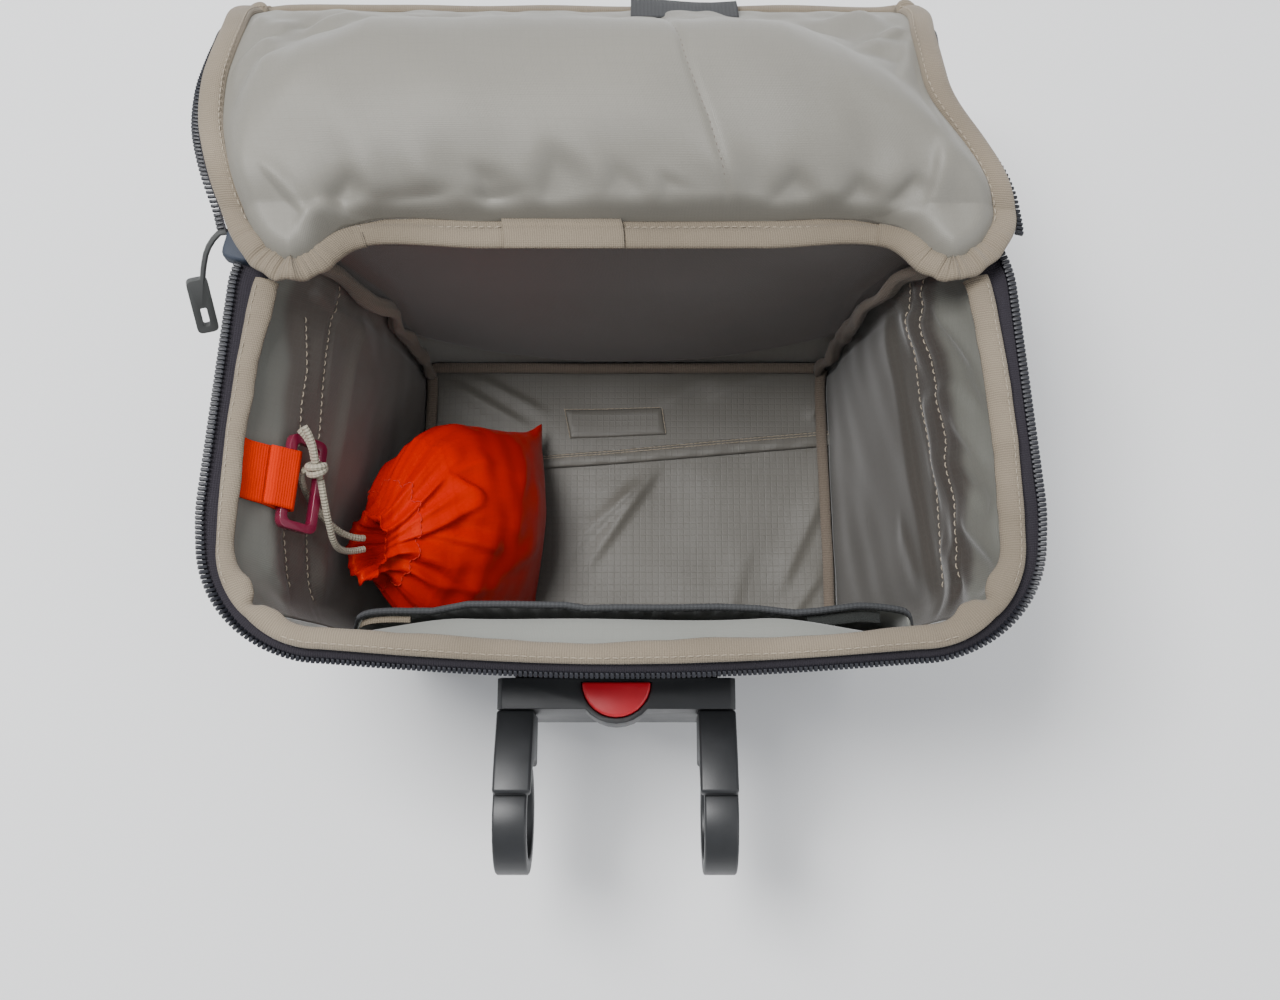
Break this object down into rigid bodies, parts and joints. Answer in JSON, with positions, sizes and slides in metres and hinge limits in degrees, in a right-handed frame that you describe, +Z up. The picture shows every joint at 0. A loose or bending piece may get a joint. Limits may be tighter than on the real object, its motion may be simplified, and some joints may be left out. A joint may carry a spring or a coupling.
{
  "type": "bicycle handlebar bag",
  "caption": "Padded handlebar bag with its zipped lid open, a cord-tied rain cover pouch, key hook and inner pocket, on a clip-on handlebar bracket",
  "frame": {"origin": "middle of the flat base, on the surface that the bag stands on", "axes": "+X to the rider's right, +Y forward, away from the handlebar, +Z up"},
  "size_m": [0.3373, 0.3757, 0.1985],
  "materials": {
    "outer_cloth": "charcoal woven nylon with a coarse weave",
    "lining_cloth": "grey-beige ripstop nylon with a soft sheen",
    "binding_tape": "matt beige ribbed tape, sewn along its edge",
    "zip_tape": "matt dark herringbone tape",
    "zip_teeth": "satin moulded teeth",
    "slider": "satin slate blue paint",
    "grip": "matt moulded rubber on a dark cord",
    "elastic": "matt grey ribbed elastic",
    "strap": "orange nylon webbing",
    "hook": "glossy translucent maroon plastic",
    "cord": "matt braided cord",
    "pouch_cloth": "shiny thin red-orange nylon",
    "bracket": "fine textured black nylon plastic",
    "button": "satin red plastic"
  },
  "bodies": {
    "bag": {"shell": "outer_cloth", "floor_pad": "lining_cloth", "lining_left": "lining_cloth", "lining_near": "lining_cloth", "lining_right": "lining_cloth", "lining_far": "lining_cloth", "floor_binding": "binding_tape", "corner_binding_left": "binding_tape", "corner_binding_right": "binding_tape", "inner_pocket": "lining_cloth", "pocket_elastic": "elastic", "rim_binding": "binding_tape", "zip_tape_body": "zip_tape", "zip_teeth_body": "zip_teeth", "zip_slider": "slider", "zip_pull": "grip", "lid_shell": "outer_cloth", "lid_lining": "lining_cloth", "hinge_binding": "binding_tape", "lid_binding": "binding_tape", "zip_tape_lid": "zip_tape", "zip_teeth_lid": "zip_teeth", "lid_tab": "binding_tape", "key_strap": "strap", "key_hook": "hook", "rain_cover_pouch": "pouch_cloth", "cord_knot": "cord", "cord_near": "cord", "cord_far": "cord", "adapter_plate": "bracket", "bracket_body": "bracket", "bracket_arm_left": "bracket", "bracket_arm_right": "bracket", "clamp_band_left": "bracket", "clamp_band_right": "bracket"},
    "release_button": {"release_button": "button"}
  },
  "joints": [
    {"name": "button_press", "type": "slide", "parent": "bag", "child": "release_button", "axis": [0, 0, -1], "range_m": [0, 0.0035], "stiffness_N_per_m": 900, "springref_m": -0.003}
  ]
}
